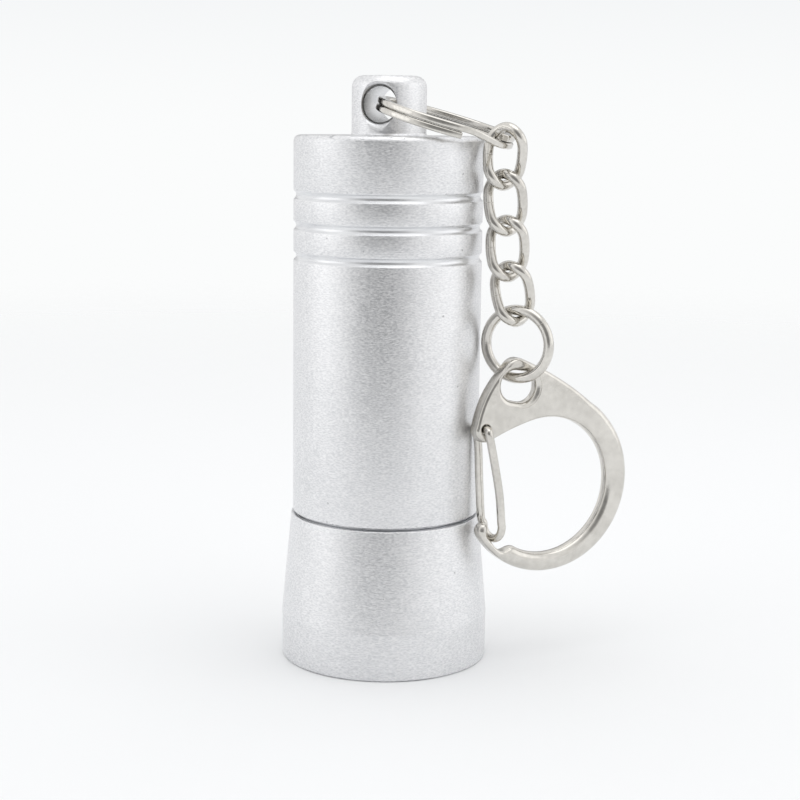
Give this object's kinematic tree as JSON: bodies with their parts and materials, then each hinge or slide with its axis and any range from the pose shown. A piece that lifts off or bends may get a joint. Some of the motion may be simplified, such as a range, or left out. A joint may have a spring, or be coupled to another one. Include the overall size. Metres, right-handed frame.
{
  "type": "keychain flashlight",
  "caption": "Small aluminium torch with a twist head, standing on its flared bezel, with a split ring, curb chain and wire-gate clasp on its tail lug.",
  "frame": {"origin": "centre of the bezel's front face, on the torch's axis", "axes": "+Z along the torch from the bezel to the tail lug; +X towards the side that the chain hangs on; -Y towards the side that the lug's hole opens to"},
  "size_m": [0.0508, 0.03, 0.084],
  "materials": {
    "anodised_aluminium": "bead-blasted and clear anodised, satin",
    "seal_rubber": "black nitrile rubber",
    "clear_acrylic": "clear polished acrylic",
    "plated_reflector": "vacuum-metallised plastic, mirror bright",
    "led_epoxy": "clear epoxy, glossy",
    "black_plastic": "moulded black plastic",
    "circuit_board": "green solder mask on fibreglass",
    "resistor_black": "black ceramic chip",
    "contact_brass": "stamped brass, lightly tarnished",
    "spring_steel": "drawn spring wire, nickel plated",
    "cell_sleeve": null,
    "nickel_plate": "nickel-plated steel wire, bright",
    "plated_zinc": "nickel-plated zinc casting, bright"
  },
  "bodies": {
    "head": {"head_shell": "anodised_aluminium", "lens_seal": "seal_rubber", "lens": "clear_acrylic", "reflector": "plated_reflector", "leds": "led_epoxy", "spacer_ring": "black_plastic", "led_board": "circuit_board", "board_resistor": "resistor_black", "retaining_ring": "contact_brass", "contact_spring": "spring_steel"},
    "cage": {"battery_cage": "black_plastic", "cage_button": "contact_brass", "cage_tail_contact": "contact_brass", "cell_plates": "contact_brass", "cell_springs": "spring_steel", "cell_1": "cell_sleeve", "cell_2": "cell_sleeve", "cell_3": "cell_sleeve"},
    "barrel_inner": {"tail_spring": "spring_steel", "head_seal": "seal_rubber"},
    "barrel": {"barrel": "anodised_aluminium"},
    "split_ring": {"split_ring": "nickel_plate"},
    "link_1": {"chain_link_1": "nickel_plate"},
    "link_2": {"chain_link_2": "nickel_plate"},
    "link_3": {"chain_link_3": "nickel_plate"},
    "link_4": {"chain_link_4": "nickel_plate"},
    "jump_ring": {"jump_ring": "nickel_plate"},
    "clasp": {"clasp_hook": "plated_zinc"},
    "gate": {"clasp_gate": "nickel_plate"}
  },
  "joints": [
    {"name": "screw_travel", "type": "slide", "parent": "head", "child": "cage", "axis": [0, 0, 1], "range_m": [-0.00025, 0.00825]},
    {"name": "barrel_lift", "type": "slide", "parent": "cage", "child": "barrel_inner", "axis": [0, 0, 1], "range_m": [0, 0.054]},
    {"name": "barrel_twist", "type": "hinge", "parent": "barrel_inner", "child": "barrel", "pos_m": [0, 0, 0.02165], "axis": [0, 0, 1], "range_deg": [-60, 1980]},
    {"name": "split_ring_swing", "type": "hinge", "parent": "barrel", "child": "split_ring", "pos_m": [0, 0, 0.08], "axis": [-0.309, -0.9511, 0], "range_deg": [0, 90]},
    {"name": "link_1_swing", "type": "hinge", "parent": "split_ring", "child": "link_1", "pos_m": [0.01636, -0.00532, 0.07507], "axis": [0, -1, 0], "range_deg": [0, 20]},
    {"name": "link_2_swing", "type": "hinge", "parent": "link_1", "child": "link_2", "pos_m": [0.01594, -0.00532, 0.06901], "axis": [0, -1, 0], "range_deg": [0, 20]},
    {"name": "link_3_swing", "type": "hinge", "parent": "link_2", "child": "link_3", "pos_m": [0.01673, -0.00532, 0.06264], "axis": [0, -1, 0], "range_deg": [0, 20]},
    {"name": "link_4_swing", "type": "hinge", "parent": "link_3", "child": "link_4", "pos_m": [0.017, -0.00532, 0.05625], "axis": [0, -1, 0], "range_deg": [0, 20]},
    {"name": "jump_ring_swing", "type": "hinge", "parent": "link_4", "child": "jump_ring", "pos_m": [0.01845, -0.00532, 0.04999], "axis": [0, -1, 0], "range_deg": [0, 20]},
    {"name": "clasp_swing", "type": "hinge", "parent": "jump_ring", "child": "clasp", "pos_m": [0.01845, -0.00532, 0.04192], "axis": [0, -1, 0], "range_deg": [0, 16]},
    {"name": "gate_swing", "type": "hinge", "parent": "clasp", "child": "gate", "pos_m": [0.01369, -0.00754, 0.03502], "axis": [0.4226, -0.9063, 0], "range_deg": [0, 30], "stiffness_Nm_per_rad": 0.003, "springref_deg": -17.19}
  ],
  "couplings": [
    {"joint": "barrel_twist", "follows": "screw_travel", "rad_per_m": 4188.8}
  ]
}
